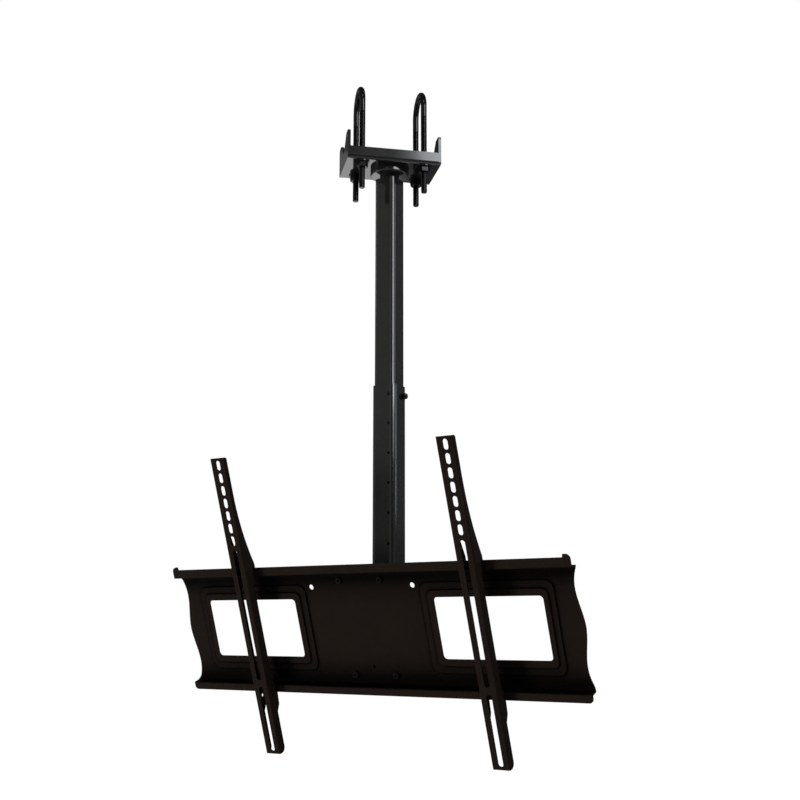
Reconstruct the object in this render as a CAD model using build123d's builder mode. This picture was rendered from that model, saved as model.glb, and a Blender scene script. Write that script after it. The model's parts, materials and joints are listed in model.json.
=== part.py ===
"""Ceiling mount for a television: truss clamp, telescopic pole, tilting plate and two slotted rails.

Millimetres, +Z up. The origin is on the axis of the truss tube that the clamp hangs from, right above the
pole, and the screen side faces -Y. The clamp is turned about Z, the plate and its rails are tilted.
"""
import os
from math import cos, radians, sin, sqrt

from build123d import *

os.makedirs("parts", exist_ok=True)

# Fits
HOLE_CLEARANCE = 0.25       # radial, bolt or screw in a plain hole
THREAD_CLEARANCE = 0.1      # radial, rod or bolt in its nut or washer
SWIVEL_CLEARANCE = 0.05     # radial, swivel bolt in disc and tray
PIVOT_CLEARANCE = 0.08      # radial, tilt bolt in the ears of the tilt bracket
TUBE_CLEARANCE = 0.4        # upper tube in the lower tube, each side
GLIDE_CLEARANCE = 0.3       # nylon foot in the lower tube, each side
PLUG_CLEARANCE = 0.1        # cap or foot in the end of a tube, each side
HOOK_CLEARANCE = 0.3        # rail around the lips of the plate
BOLT_END = 2.0              # bolt's length beyond its nut

# Truss clamp
TRUSS_TUBE_D = 50.8
CLAMP_YAW = 43.0            # turn of the clamp about Z
CLAMP_SHEET = 4.0
CLAMP_BEND_R = 5.0          # outside of the bend
CHANNEL_LENGTH = 147.0      # between the end plates
CLAMP_DEPTH = 92.0
FLANGE_HEIGHT = 20.0
END_PLATE_T = 4.5
END_PLATE_HEIGHT = 49.0
END_PLATE_R = 4.0
NOTCH_ROOT = 22.0           # root of the right-angled notch above the underside

# U-bolts
ROD_D = 10.0
U_BOLT_SPACING = 104.0
U_BOLT_PLAY = 1.2           # legs' inner width over the truss tube
U_BOLT_RISE = 144.0         # top above the underside of the tray
U_BOLT_TAIL = 46.0          # legs below the underside of the tray
ROD_NUT_AF = 17.0
ROD_NUT_H = 8.4
ROD_WASHER_D = 24.0
ROD_WASHER_T = 2.0
ROD_POINT = 1.0             # chamfer on the ends of rods and bolts

# Swivel
DISC_D = 64.0
DISC_H = 10.0
DISC_EDGE_R = 2.0
DISC_SCREW_CIRCLE_D = 46.0
DISC_SCREW_D = 6.0
DISC_SCREW_GRIP = 8.0       # screw's length in the disc
SWIVEL_BOLT_D = 12.0
SWIVEL_NUT_AF = 19.0
SWIVEL_NUT_H = 10.8
SWIVEL_WASHER_D = 26.0
SWIVEL_WASHER_T = 2.5
SWIVEL_HEAD_H = 7.5
NECK_D = 32.0
NECK_H = 7.0
CAP_T = 3.0
PLUG_H = 12.0

# Pole
LOWER_TUBE = 42.0
LOWER_CORNER_R = 9.0
TUBE_WALL = 2.0
UPPER_LENGTH = 409.0
LOWER_LENGTH = 428.0
TUBE_OVERLAP = 60.0         # at rest, the longest setting
FOOT_T = 4.0
HOLE_D = 4.6
HOLE_COUNT = 6
HOLE_PITCH = 47.35
HOLE_FROM_TOP = 16.0
HOLE_OFFSET = 12.0          # hole column to the right of the pole's axis
HEIGHT_SCREW_D = 4.0
SIDE_SCREW_D = 6.0
SIDE_SCREW_FROM_TOP = 16.6
SIDE_SCREW_OFFSET = 9.0     # behind the pole's axis
SIDE_SCREW_STAND = 2.0      # between its head and the tube

# Tilt joint
TILT = 19.4                 # lean of the plate, its top to the front
PIVOT_RISE = 48.0           # tilt axis above the lower end of the pole
PIVOT_FORWARD = 36.0        # tilt axis in front of the pole's axis
BRACKET_SHEET = 3.0
POLE_BRACKET_HEIGHT = 80.0
CHEEK_GAP = 62.0            # between the cheeks of the pole bracket
CHEEK_R = 14.0
BRACKET_BOLT_D = 8.0
BRACKET_BOLT_SPACING = 50.0
PIVOT_D = 8.0
TILT_WASHER_D = 20.0
TILT_WASHER_T = 1.2
EAR_R = 11.0
EAR_BASE = 50.0
EAR_REACH = 22.2            # tilt axis behind the front of the plate
PIVOT_BELOW = 7.8           # tilt axis below the middle of the plate
TILT_BRACKET_WIDTH = 90.0
TILT_BRACKET_EDGE = 5.6     # edge beyond the middle of the plate bolts

# Plate
PLATE_SHEET = 2.0
PLATE_WIDTH = 700.0
PANEL_HEIGHT = 175.2        # between the webs of the two lips
PANEL_BEND_R = 8.0          # inside, panel to web
LIP_BEND_R = 1.5            # inside, web to lip
LIP_DEPTH = 16.0            # front of the lips before the panel
TOP_LIP = 14.7
BOTTOM_LIP = 12.2
LIP_INSET = 1.0             # ends of the lips within the plate's width
LIP_EAR_W = 10.5
LIP_EAR_H = 4.7
LIP_EAR_R = 7.0
LIP_EAR_SLOPE = 1.0         # lean of the ear's inner edge
LIP_CORNER_R = 6.0
WAIST_INSET = 8.6           # of the side edges, above and below the middle
WAIST_HEIGHT = 54.0
BELLY_INSET = 1.4           # of the side edges, in the middle
WINDOW_WIDTH = 171.5
WINDOW_HEIGHT = 93.2
WINDOW_CENTRE = 209.2
WINDOW_R = 6.0
RIM_INNER = 22.4            # stepped rim beside a window, toward the middle
RIM_OUTER = 18.0
RIM_UPPER = 22.8            # above and below it
RIM_STEP = 1.6
RIM_R = 14.0
PLATE_BOLT_D = 6.0
PLATE_BOLT_WIDTH = 72.4     # between the plate bolts, across
PLATE_BOLT_HEIGHT = 147.6   # and up
PLATE_HOLE_D = 8.4
PLATE_HOLE_WIDTH = 180.0    # between the two through holes
PLATE_HOLE_HEIGHT = 64.2    # above the middle of the plate
LOW_HOLE_D = 5.0
LOW_HOLE_DEPTH = 60.6       # below the middle of the plate

# Rails
RAIL_SHEET = 2.0
RAIL_WIDTH = 28.0
RAIL_SPACING = 400.0
RAIL_SHIFT = 3.0            # middle between the rails, to the right of the plate's
RAIL_DEPTH = 17.7           # before the lips
RAIL_TOP = 282.6            # above the middle of the plate
RAIL_BOTTOM = 194.9
RAIL_EDGE_R = 2.2
MID_DEPTH = 14.2            # of the flanges between the lips
SEAT_SLOPE = 10.0           # length over which they narrow to that
TOP_DEPTH = 6.0             # of the flanges at the top of a rail
FLARE_TOP = 225.0           # above it the flanges are straight
HOOK_T = 4.0
HOOK_LENGTH = 7.4
HOOK_CROWN = 5.0
CATCH_DEPTH = 3.6           # flanges behind the front of the lip, under it
CATCH_LENGTH = 20.0
CATCH_LEAN = 1.5            # rise of the catch's rear edge along it
KINK_LENGTH = 10.0
LOW_DEPTH = 13.5            # of the flanges below the kink
LOW_R = 8.0
SLOT_W = 8.0
SHORT_SLOT = 15.5
SHORT_SLOTS = 7
SHORT_PITCH = 20.0
SHORT_FIRST = 11.6          # middle of the first short slot below the rail's top
SHORT_BRIDGE = 6.85         # between the last short slot and the long slot
LONG_SLOT = 210.8
SLOT_BRIDGE = 10.9          # between the long slot and the low slot
END_BRIDGE = 4.4            # between the low slot and the end of the rail
LOCK_HOLE_D = 5.5
LOCK_HOLE_DROP = 5.0        # below the lower lip
LOCK_HOLE_LIFT = 1.75       # before the rear edge of the flanges

# Levels and planes that follow from these
UNDERSIDE = -(NOTCH_ROOT + TRUSS_TUBE_D / sqrt(2))
LEG_SPACING = TRUSS_TUBE_D + ROD_D + U_BOLT_PLAY
TUBE_TOP = UNDERSIDE - DISC_H - NECK_H - CAP_T
UPPER_END = TUBE_TOP - UPPER_LENGTH
LOWER_TOP = UPPER_END + TUBE_OVERLAP
LOWER_END = LOWER_TOP - LOWER_LENGTH
PIVOT_Z = LOWER_END + PIVOT_RISE
BORE = LOWER_TUBE - 2 * TUBE_WALL
BORE_R = LOWER_CORNER_R - TUBE_WALL
UPPER_TUBE = BORE - 2 * TUBE_CLEARANCE
UPPER_CORNER_R = BORE_R - TUBE_CLEARANCE
UPPER_BORE = UPPER_TUBE - 2 * TUBE_WALL
UPPER_BORE_R = UPPER_CORNER_R - TUBE_WALL

yaw = radians(CLAMP_YAW)
clamp_plane = Plane((0, 0, UNDERSIDE), x_dir=(cos(yaw), sin(yaw), 0), z_dir=(0, 0, 1))
clamp_section = Plane((0, 0, UNDERSIDE), x_dir=clamp_plane.y_dir, z_dir=clamp_plane.x_dir)

front_plane = Plane((0, -LOWER_TUBE / 2, PIVOT_Z), x_dir=(1, 0, 0), z_dir=(0, -1, 0))
side_plane = Plane((0, 0, PIVOT_Z), x_dir=(0, 1, 0), z_dir=(1, 0, 0))

tilt = radians(TILT)
plate_normal = Vector(0, -cos(tilt), -sin(tilt))
plate_up = Vector(0, -sin(tilt), cos(tilt))
pivot = Vector(0, -PIVOT_FORWARD, PIVOT_Z)
plate_centre = pivot + plate_normal * EAR_REACH + plate_up * PIVOT_BELOW
plate_plane = Plane(plate_centre, x_dir=(1, 0, 0), z_dir=plate_normal)
plate_section = Plane(plate_centre, x_dir=plate_up, z_dir=(1, 0, 0))
forward = Axis(plate_centre, plate_normal)


def hand_in(builder, name):
    """Name a finished sub-part and write its STEP file."""
    builder.part.label = name
    export_step(builder.part, f"parts/{name}.step")


def hexagon(across_flats):
    """Hexagon in the open sketch."""
    return RegularPolygon(across_flats / 2, 6, major_radius=False)


def square_tube(size, corner_r, wall):
    """Section of a square tube with rounded corners in the open sketch."""
    RectangleRounded(size, size, corner_r)
    RectangleRounded(size - 2 * wall, size - 2 * wall, corner_r - wall, mode=Mode.SUBTRACT)


# Clamp channel: base with the front and rear flanges bent up
with BuildPart() as clamp_channel:
    with BuildSketch(clamp_section):
        with BuildLine():
            half = (CLAMP_DEPTH - CLAMP_SHEET) / 2
            FilletPolyline(
                (-half, FLANGE_HEIGHT),
                (-half, CLAMP_SHEET / 2),
                (half, CLAMP_SHEET / 2),
                (half, FLANGE_HEIGHT),
                radius=CLAMP_BEND_R - CLAMP_SHEET / 2,
            )
        trace(line_width=CLAMP_SHEET)
    extrude(amount=CHANNEL_LENGTH / 2, both=True)
    with BuildSketch(clamp_plane):
        Circle(SWIVEL_BOLT_D / 2 + SWIVEL_CLEARANCE)
        with GridLocations(U_BOLT_SPACING, LEG_SPACING, 2, 2):
            Circle(ROD_D / 2 + HOLE_CLEARANCE)
        with PolarLocations(DISC_SCREW_CIRCLE_D / 2, 4, 45):
            Circle(DISC_SCREW_D / 2 + HOLE_CLEARANCE)
    extrude(amount=CLAMP_SHEET, mode=Mode.SUBTRACT)
hand_in(clamp_channel, "clamp_channel")

# End plates, the notch wide enough for the truss tube to lie on both slopes
notch_rise = END_PLATE_HEIGHT - NOTCH_ROOT
for side, start in (("left", -CHANNEL_LENGTH / 2 - END_PLATE_T), ("right", CHANNEL_LENGTH / 2)):
    with BuildPart() as end_plate:
        with BuildSketch(clamp_section.offset(start)) as outline:
            with BuildLine():
                Polyline(
                    (-CLAMP_DEPTH / 2, 0),
                    (CLAMP_DEPTH / 2, 0),
                    (CLAMP_DEPTH / 2, END_PLATE_HEIGHT),
                    (notch_rise, END_PLATE_HEIGHT),
                    (0, NOTCH_ROOT),
                    (-notch_rise, END_PLATE_HEIGHT),
                    (-CLAMP_DEPTH / 2, END_PLATE_HEIGHT),
                    close=True,
                )
            make_face()
            fillet(outline.vertices().group_by(Axis.Y)[-1], END_PLATE_R)
            fillet(outline.vertices().group_by(Axis.Y)[0], END_PLATE_R)
        extrude(amount=END_PLATE_T)
    hand_in(end_plate, f"end_plate_{side}")

# U-bolts
bend_height = U_BOLT_RISE - (LEG_SPACING + ROD_D) / 2
for side, place in (("left", -U_BOLT_SPACING / 2), ("right", U_BOLT_SPACING / 2)):
    with BuildPart() as u_bolt:
        with BuildLine(clamp_section.offset(place)) as path:
            Line((-LEG_SPACING / 2, -U_BOLT_TAIL), (-LEG_SPACING / 2, bend_height))
            ThreePointArc(
                (-LEG_SPACING / 2, bend_height),
                (0, bend_height + LEG_SPACING / 2),
                (LEG_SPACING / 2, bend_height),
            )
            Line((LEG_SPACING / 2, bend_height), (LEG_SPACING / 2, -U_BOLT_TAIL))
        with BuildSketch(Plane(path.wire() @ 0, z_dir=path.wire() % 0)):
            Circle(ROD_D / 2)
        sweep()
        chamfer(u_bolt.edges().group_by(Axis.Z)[0], ROD_POINT)
    hand_in(u_bolt, f"u_bolt_{side}")

# Nuts and washers of the U-bolts, below and above the base of the tray
for name, start in (("lower_nuts", -ROD_WASHER_T - ROD_NUT_H), ("upper_nuts", CLAMP_SHEET)):
    with BuildPart() as rod_nuts:
        with BuildSketch(clamp_plane.offset(start)):
            with GridLocations(U_BOLT_SPACING, LEG_SPACING, 2, 2):
                hexagon(ROD_NUT_AF)
        extrude(amount=ROD_NUT_H)
        chamfer(rod_nuts.edges().filter_by(Plane.XY), 0.8)
        with BuildSketch(clamp_plane.offset(start)):
            with GridLocations(U_BOLT_SPACING, LEG_SPACING, 2, 2):
                Circle(ROD_D / 2 + THREAD_CLEARANCE)
        extrude(amount=ROD_NUT_H, mode=Mode.SUBTRACT)
    hand_in(rod_nuts, name)

with BuildPart() as lower_washers:
    with BuildSketch(clamp_plane.offset(-ROD_WASHER_T)):
        with GridLocations(U_BOLT_SPACING, LEG_SPACING, 2, 2):
            Circle(ROD_WASHER_D / 2)
            Circle(ROD_D / 2 + THREAD_CLEARANCE, mode=Mode.SUBTRACT)
    extrude(amount=ROD_WASHER_T)
hand_in(lower_washers, "lower_washers")

# Swivel disc under the tray, its screws put in from the tray
with BuildPart() as swivel_disc:
    with BuildSketch(clamp_plane):
        Circle(DISC_D / 2)
    extrude(amount=-DISC_H)
    fillet(swivel_disc.edges().group_by(Axis.Z)[0], DISC_EDGE_R)
    with BuildSketch(clamp_plane):
        Circle(SWIVEL_BOLT_D / 2 + SWIVEL_CLEARANCE)
    extrude(amount=-DISC_H, mode=Mode.SUBTRACT)
    with BuildSketch(clamp_plane):
        with PolarLocations(DISC_SCREW_CIRCLE_D / 2, 4, 45):
            Circle(DISC_SCREW_D / 2 + THREAD_CLEARANCE)
    extrude(amount=-DISC_SCREW_GRIP, mode=Mode.SUBTRACT)
hand_in(swivel_disc, "swivel_disc")

screw_head_h = 0.55 * DISC_SCREW_D
with BuildPart() as disc_screws:
    with BuildSketch(clamp_plane.offset(CLAMP_SHEET)):
        with PolarLocations(DISC_SCREW_CIRCLE_D / 2, 4, 45):
            Circle(0.875 * DISC_SCREW_D)
    extrude(amount=screw_head_h)
    fillet(disc_screws.edges().group_by(Axis.Z)[-1], 0.4 * DISC_SCREW_D)
    with BuildSketch(clamp_plane.offset(CLAMP_SHEET + screw_head_h)):
        with PolarLocations(DISC_SCREW_CIRCLE_D / 2, 4, 45):
            hexagon(DISC_SCREW_D * 2 / 3)
    extrude(amount=-DISC_SCREW_D / 3, mode=Mode.SUBTRACT)
    with BuildSketch(clamp_plane.offset(CLAMP_SHEET)):
        with PolarLocations(DISC_SCREW_CIRCLE_D / 2, 4, 45):
            Circle(DISC_SCREW_D / 2)
    extrude(amount=-CLAMP_SHEET - 0.9 * DISC_SCREW_GRIP)
hand_in(disc_screws, "disc_screws")

# Upper tube with its cap, foot and swivel bolt
with BuildPart() as upper_tube:
    with BuildSketch(Plane.XY.offset(UPPER_END)):
        square_tube(UPPER_TUBE, UPPER_CORNER_R, TUBE_WALL)
    extrude(amount=UPPER_LENGTH)
hand_in(upper_tube, "upper_tube")

plug = UPPER_BORE - 2 * PLUG_CLEARANCE
plug_r = UPPER_BORE_R - PLUG_CLEARANCE
with BuildPart() as top_cap:
    with BuildSketch(Plane.XY.offset(TUBE_TOP)):
        RectangleRounded(UPPER_TUBE, UPPER_TUBE, UPPER_CORNER_R)
    extrude(amount=CAP_T)
    fillet(top_cap.edges().group_by(Axis.Z)[-1], CAP_T / 3)
    with BuildSketch(Plane.XY.offset(TUBE_TOP + CAP_T)):
        Circle(NECK_D / 2)
    extrude(amount=NECK_H)
    with BuildSketch(Plane.XY.offset(TUBE_TOP)):
        RectangleRounded(plug, plug, plug_r)
    extrude(amount=-PLUG_H)
    with BuildSketch(Plane.XY.offset(TUBE_TOP - PLUG_H)):
        Circle(SWIVEL_BOLT_D / 2 + THREAD_CLEARANCE)
    extrude(amount=PLUG_H + CAP_T + NECK_H, mode=Mode.SUBTRACT)
hand_in(top_cap, "top_cap")

swivel_top = UNDERSIDE + CLAMP_SHEET
bolt_start = TUBE_TOP - PLUG_H - SWIVEL_HEAD_H
bolt_end = swivel_top + SWIVEL_WASHER_T + SWIVEL_NUT_H + BOLT_END
with BuildPart() as swivel_bolt:
    with BuildSketch(Plane.XY.offset(bolt_start)):
        hexagon(1.5 * SWIVEL_BOLT_D)
    extrude(amount=SWIVEL_HEAD_H)
    with BuildSketch(Plane.XY.offset(bolt_start)):
        Circle(SWIVEL_BOLT_D / 2)
    extrude(amount=bolt_end - bolt_start)
    chamfer(swivel_bolt.edges().group_by(Axis.Z)[-1], ROD_POINT)
hand_in(swivel_bolt, "swivel_bolt")

with BuildPart() as swivel_washer:
    with BuildSketch(Plane.XY.offset(swivel_top)):
        Circle(SWIVEL_WASHER_D / 2)
        Circle(SWIVEL_BOLT_D / 2 + THREAD_CLEARANCE, mode=Mode.SUBTRACT)
    extrude(amount=SWIVEL_WASHER_T)
hand_in(swivel_washer, "swivel_washer")

with BuildPart() as swivel_nut:
    with BuildSketch(Plane.XY.offset(swivel_top + SWIVEL_WASHER_T)):
        hexagon(SWIVEL_NUT_AF)
    extrude(amount=SWIVEL_NUT_H)
    chamfer(swivel_nut.edges().filter_by(Plane.XY), 0.8)
    with BuildSketch(Plane.XY.offset(swivel_top + SWIVEL_WASHER_T)):
        Circle(SWIVEL_BOLT_D / 2 + THREAD_CLEARANCE)
    extrude(amount=SWIVEL_NUT_H, mode=Mode.SUBTRACT)
hand_in(swivel_nut, "swivel_nut")

foot = BORE - 2 * GLIDE_CLEARANCE
foot_r = BORE_R - GLIDE_CLEARANCE
with BuildPart() as tube_foot:
    with BuildSketch(Plane.XY.offset(UPPER_END)):
        RectangleRounded(foot, foot, foot_r)
    extrude(amount=-FOOT_T)
    with BuildSketch(Plane.XY.offset(UPPER_END)):
        RectangleRounded(plug, plug, plug_r)
    extrude(amount=PLUG_H)
hand_in(tube_foot, "tube_foot")

# Lower tube with its column of height holes
with BuildPart() as lower_tube:
    with BuildSketch(Plane.XY.offset(LOWER_END)):
        square_tube(LOWER_TUBE, LOWER_CORNER_R, TUBE_WALL)
    extrude(amount=LOWER_LENGTH)
    with BuildSketch(front_plane):
        for k in range(HOLE_COUNT):
            with Locations((HOLE_OFFSET, LOWER_TOP - HOLE_FROM_TOP - k * HOLE_PITCH - PIVOT_Z)):
                Circle(HOLE_D / 2)
    extrude(amount=-LOWER_CORNER_R, mode=Mode.SUBTRACT)
    with BuildSketch(front_plane):
        with GridLocations(1, BRACKET_BOLT_SPACING, 1, 2):
            Circle(BRACKET_BOLT_D / 2 + HOLE_CLEARANCE)
    extrude(amount=-LOWER_TUBE, mode=Mode.SUBTRACT)
    with BuildSketch(side_plane.offset(LOWER_TUBE / 2)):
        with Locations((SIDE_SCREW_OFFSET, LOWER_TOP - SIDE_SCREW_FROM_TOP - PIVOT_Z)):
            Circle(SIDE_SCREW_D / 2 + THREAD_CLEARANCE)
    extrude(amount=-TUBE_WALL, mode=Mode.SUBTRACT)
hand_in(lower_tube, "lower_tube")

# Screws that stop just short of the upper tube, so that it can slide past them
with BuildPart() as height_screw:
    with BuildSketch(front_plane):
        with Locations((HOLE_OFFSET, LOWER_TOP - HOLE_FROM_TOP - PIVOT_Z)):
            Circle(0.8 * HEIGHT_SCREW_D)
    extrude(amount=0.3 * HEIGHT_SCREW_D)
    fillet(height_screw.edges().group_by(Axis.Y)[0], 0.2 * HEIGHT_SCREW_D)
    with BuildSketch(front_plane):
        with Locations((HOLE_OFFSET, LOWER_TOP - HOLE_FROM_TOP - PIVOT_Z)):
            Circle(HEIGHT_SCREW_D / 2)
    extrude(amount=-TUBE_WALL)
hand_in(height_screw, "height_screw")

with BuildPart() as side_screw:
    with BuildSketch(side_plane.offset(LOWER_TUBE / 2 + SIDE_SCREW_STAND)):
        with Locations((SIDE_SCREW_OFFSET, LOWER_TOP - SIDE_SCREW_FROM_TOP - PIVOT_Z)):
            Circle(0.8 * SIDE_SCREW_D)
    extrude(amount=0.8 * SIDE_SCREW_D)
    fillet(side_screw.edges().group_by(Axis.X)[-1], 0.3 * SIDE_SCREW_D)
    with BuildSketch(side_plane.offset(LOWER_TUBE / 2 + SIDE_SCREW_STAND)):
        with Locations((SIDE_SCREW_OFFSET, LOWER_TOP - SIDE_SCREW_FROM_TOP - PIVOT_Z)):
            Circle(SIDE_SCREW_D / 2)
    extrude(amount=-TUBE_WALL - SIDE_SCREW_STAND)
hand_in(side_screw, "side_screw")

end_plug = BORE - 2 * PLUG_CLEARANCE
with BuildPart() as tube_end_cap:
    with BuildSketch(Plane.XY.offset(LOWER_END)):
        RectangleRounded(LOWER_TUBE, LOWER_TUBE, LOWER_CORNER_R)
    extrude(amount=-CAP_T)
    fillet(tube_end_cap.edges().group_by(Axis.Z)[0], CAP_T / 3)
    with BuildSketch(Plane.XY.offset(LOWER_END)):
        RectangleRounded(end_plug, end_plug, BORE_R - PLUG_CLEARANCE)
    extrude(amount=PLUG_H)
hand_in(tube_end_cap, "tube_end_cap")

# Pole bracket: web on the front of the lower tube, cheeks around the tilt axis
cheek_out = CHEEK_GAP / 2 + BRACKET_SHEET
with BuildPart() as pole_bracket:
    with BuildSketch(front_plane):
        Rectangle(2 * cheek_out, POLE_BRACKET_HEIGHT)
    extrude(amount=BRACKET_SHEET)
    for start in (-cheek_out, CHEEK_GAP / 2):
        with BuildSketch(side_plane.offset(start)) as cheek:
            with Locations((-PIVOT_FORWARD, 0)):
                Circle(CHEEK_R)
            with Locations((-(LOWER_TUBE + BRACKET_SHEET) / 2, 0)):
                Rectangle(BRACKET_SHEET, POLE_BRACKET_HEIGHT)
            make_hull(cheek.edges())
        extrude(amount=BRACKET_SHEET)
    rear_edges = pole_bracket.edges().filter_by(Axis.Z).group_by(Axis.Y)[-1]
    fillet(rear_edges, 1.2 * BRACKET_SHEET)
    with BuildSketch(front_plane):
        with GridLocations(1, BRACKET_BOLT_SPACING, 1, 2):
            Circle(BRACKET_BOLT_D / 2 + HOLE_CLEARANCE)
    extrude(amount=BRACKET_SHEET, mode=Mode.SUBTRACT)
    with BuildSketch(side_plane):
        with Locations((-PIVOT_FORWARD, 0)):
            Circle(PIVOT_D / 2 + THREAD_CLEARANCE)
    extrude(amount=cheek_out, both=True, mode=Mode.SUBTRACT)
hand_in(pole_bracket, "pole_bracket")

bracket_head_h = 0.66 * BRACKET_BOLT_D
bracket_nut_h = 0.8 * BRACKET_BOLT_D
with BuildPart() as bracket_bolts:
    with BuildSketch(front_plane.offset(BRACKET_SHEET)):
        with GridLocations(1, BRACKET_BOLT_SPACING, 1, 2):
            hexagon(1.625 * BRACKET_BOLT_D)
    extrude(amount=bracket_head_h)
    with BuildSketch(front_plane.offset(BRACKET_SHEET)):
        with GridLocations(1, BRACKET_BOLT_SPACING, 1, 2):
            Circle(BRACKET_BOLT_D / 2)
    extrude(amount=-BRACKET_SHEET - LOWER_TUBE - bracket_nut_h - BOLT_END)
hand_in(bracket_bolts, "bracket_bolts")

with BuildPart() as bracket_nuts:
    with BuildSketch(front_plane.offset(-LOWER_TUBE)):
        with GridLocations(1, BRACKET_BOLT_SPACING, 1, 2):
            hexagon(1.625 * BRACKET_BOLT_D)
    extrude(amount=-bracket_nut_h)
    chamfer(bracket_nuts.edges().filter_by(Plane.XZ), 0.6)
    with BuildSketch(front_plane.offset(-LOWER_TUBE)):
        with GridLocations(1, BRACKET_BOLT_SPACING, 1, 2):
            Circle(BRACKET_BOLT_D / 2 + THREAD_CLEARANCE)
    extrude(amount=-bracket_nut_h, mode=Mode.SUBTRACT)
hand_in(bracket_nuts, "bracket_nuts")

# Tilt bolt across the cheeks, its nut and the washers between cheeks and ears
tilt_head_h = 0.66 * PIVOT_D
tilt_nut_h = 0.8 * PIVOT_D
with BuildPart() as tilt_bolt:
    with BuildSketch(side_plane.offset(cheek_out)):
        with Locations((-PIVOT_FORWARD, 0)):
            hexagon(1.625 * PIVOT_D)
    extrude(amount=tilt_head_h)
    with BuildSketch(side_plane.offset(cheek_out)):
        with Locations((-PIVOT_FORWARD, 0)):
            Circle(PIVOT_D / 2)
    extrude(amount=-2 * cheek_out - tilt_nut_h - BOLT_END)
hand_in(tilt_bolt, "tilt_bolt")

with BuildPart() as tilt_nut:
    with BuildSketch(side_plane.offset(-cheek_out)):
        with Locations((-PIVOT_FORWARD, 0)):
            hexagon(1.625 * PIVOT_D)
    extrude(amount=-tilt_nut_h)
    chamfer(tilt_nut.edges().filter_by(Plane.YZ), 0.6)
    with BuildSketch(side_plane.offset(-cheek_out)):
        with Locations((-PIVOT_FORWARD, 0)):
            Circle(PIVOT_D / 2 + THREAD_CLEARANCE)
    extrude(amount=-tilt_nut_h, mode=Mode.SUBTRACT)
hand_in(tilt_nut, "tilt_nut")

with BuildPart() as tilt_washers:
    for start in (-CHEEK_GAP / 2, CHEEK_GAP / 2 - TILT_WASHER_T):
        with BuildSketch(side_plane.offset(start)):
            with Locations((-PIVOT_FORWARD, 0)):
                Circle(TILT_WASHER_D / 2)
                Circle(PIVOT_D / 2 + THREAD_CLEARANCE, mode=Mode.SUBTRACT)
        extrude(amount=TILT_WASHER_T)
hand_in(tilt_washers, "tilt_washers")

# Tilt bracket: web on the back of the plate, ears between the tilt washers
ear_out = CHEEK_GAP / 2 - TILT_WASHER_T
web_back = PLATE_SHEET + BRACKET_SHEET
with BuildPart() as tilt_bracket:
    with BuildSketch(plate_plane.offset(-web_back)):
        RectangleRounded(TILT_BRACKET_WIDTH, PLATE_BOLT_HEIGHT + 2 * TILT_BRACKET_EDGE, TILT_BRACKET_EDGE)
    extrude(amount=BRACKET_SHEET)
    for start in (-ear_out, ear_out - BRACKET_SHEET):
        with BuildSketch(plate_section.offset(start)) as ear:
            with Locations((-PIVOT_BELOW, -EAR_REACH)):
                Circle(EAR_R)
            with Locations((-PIVOT_BELOW, -web_back)):
                Rectangle(EAR_BASE, BRACKET_SHEET, align=(Align.CENTER, Align.MIN))
            make_hull(ear.edges())
        extrude(amount=BRACKET_SHEET)
    with BuildSketch(plate_plane.offset(-PLATE_SHEET)):
        with GridLocations(PLATE_BOLT_WIDTH, PLATE_BOLT_HEIGHT, 2, 2):
            Circle(PLATE_BOLT_D / 2 + HOLE_CLEARANCE)
    extrude(amount=-BRACKET_SHEET, mode=Mode.SUBTRACT)
    with BuildSketch(plate_section):
        with Locations((-PIVOT_BELOW, -EAR_REACH)):
            Circle(PIVOT_D / 2 + PIVOT_CLEARANCE)
    extrude(amount=ear_out, both=True, mode=Mode.SUBTRACT)
hand_in(tilt_bracket, "tilt_bracket")

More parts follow.
